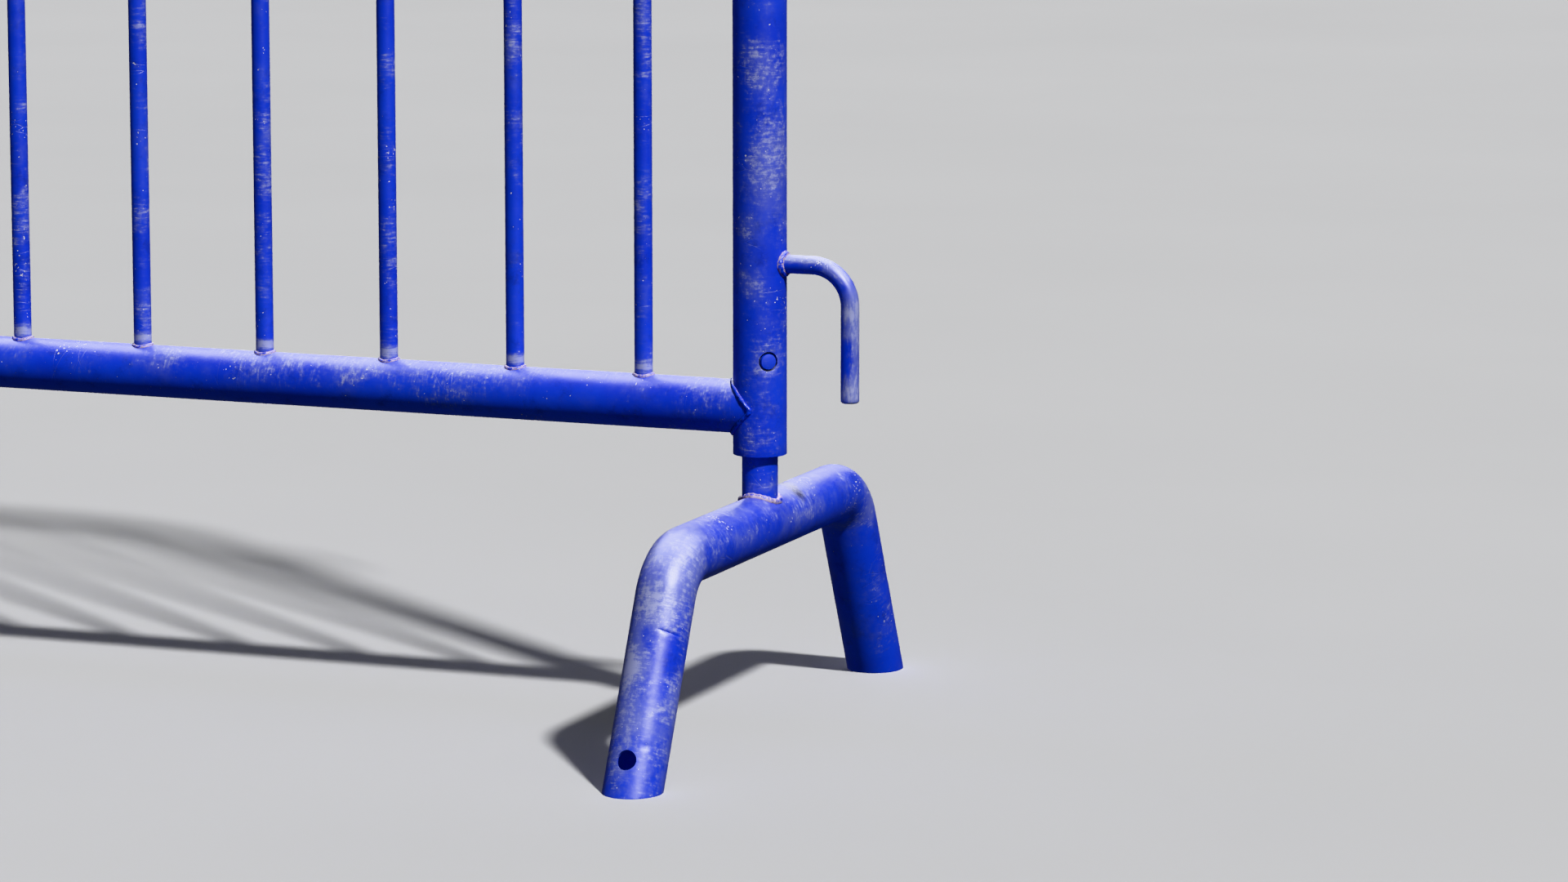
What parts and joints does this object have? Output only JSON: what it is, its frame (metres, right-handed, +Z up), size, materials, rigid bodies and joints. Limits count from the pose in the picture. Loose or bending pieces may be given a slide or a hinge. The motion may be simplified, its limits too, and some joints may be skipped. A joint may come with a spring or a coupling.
{
  "type": "crowd control barrier",
  "caption": "Steel crowd barrier: bent tube frame with upright bars, hooks on one post, loops on the other, and plug-in bridge feet held by snap buttons.",
  "frame": {"origin": "on the ground, midway between the two posts and in the plane of the frame", "axes": "+X along the barrier towards the hooks, +Y to the back, +Z up"},
  "size_m": [2.427, 0.5086, 1.1],
  "materials": {
    "frame_paint": "gloss enamel, scuffed",
    "bar_paint": "gloss enamel, scuffed",
    "rod_paint": "gloss enamel, chipped at the tip",
    "foot_paint": "gloss enamel, worn at the bends",
    "weld_paint": "gloss enamel over a rippled weld, worn pale",
    "button_paint": "gloss enamel, worn round the rim",
    "socket_steel": "bare steel, dull",
    "spring_steel": "tempered spring steel"
  },
  "bodies": {
    "right_foot": {"right_foot_tube": "foot_paint", "right_foot_spigot": "foot_paint", "right_foot_weld": "weld_paint", "right_button_spring": "spring_steel"},
    "frame": {"frame_tube": "frame_paint", "bottom_rail": "frame_paint", "infill_bar_01": "bar_paint", "infill_bar_02": "bar_paint", "infill_bar_03": "bar_paint", "infill_bar_04": "bar_paint", "infill_bar_05": "bar_paint", "infill_bar_06": "bar_paint", "infill_bar_07": "bar_paint", "infill_bar_08": "bar_paint", "infill_bar_09": "bar_paint", "infill_bar_10": "bar_paint", "infill_bar_11": "bar_paint", "infill_bar_12": "bar_paint", "infill_bar_13": "bar_paint", "infill_bar_14": "bar_paint", "infill_bar_15": "bar_paint", "infill_bar_16": "bar_paint", "infill_bar_17": "bar_paint", "infill_bar_18": "bar_paint", "infill_bar_19": "bar_paint", "infill_bar_20": "bar_paint", "infill_bar_21": "bar_paint", "infill_bar_22": "bar_paint", "upper_hook": "rod_paint", "lower_hook": "rod_paint", "upper_loop": "rod_paint", "lower_loop": "rod_paint", "left_socket_sleeve": "socket_steel", "right_socket_sleeve": "socket_steel", "rail_welds": "weld_paint", "bar_welds_bottom": "weld_paint", "bar_welds_top": "weld_paint", "hook_welds": "weld_paint", "loop_welds": "weld_paint"},
    "left_foot": {"left_foot_tube": "foot_paint", "left_foot_spigot": "foot_paint", "left_foot_weld": "weld_paint", "left_button_spring": "spring_steel"},
    "right_button": {"right_snap_button": "button_paint"},
    "left_button": {"left_snap_button": "button_paint"}
  },
  "joints": [
    {"name": "frame_lift", "type": "slide", "parent": "right_foot", "child": "frame", "axis": [0, 0, 1], "range_m": [0, 0.165], "deforming": ["right_snap_button", "right_button_spring"]},
    {"name": "left_foot_pull", "type": "slide", "parent": "frame", "child": "left_foot", "axis": [0, 0, -1], "range_m": [0, 0.165], "deforming": ["left_snap_button", "left_button_spring"]},
    {"name": "right_button_press", "type": "slide", "parent": "right_foot", "child": "right_button", "axis": [-0.6561, 0.7547, 0], "range_m": [0, 0.007], "stiffness_N_per_m": 1500, "springref_m": -0.002},
    {"name": "left_button_press", "type": "slide", "parent": "left_foot", "child": "left_button", "axis": [-0.6561, 0.7547, 0], "range_m": [0, 0.007], "stiffness_N_per_m": 1500, "springref_m": -0.002}
  ]
}
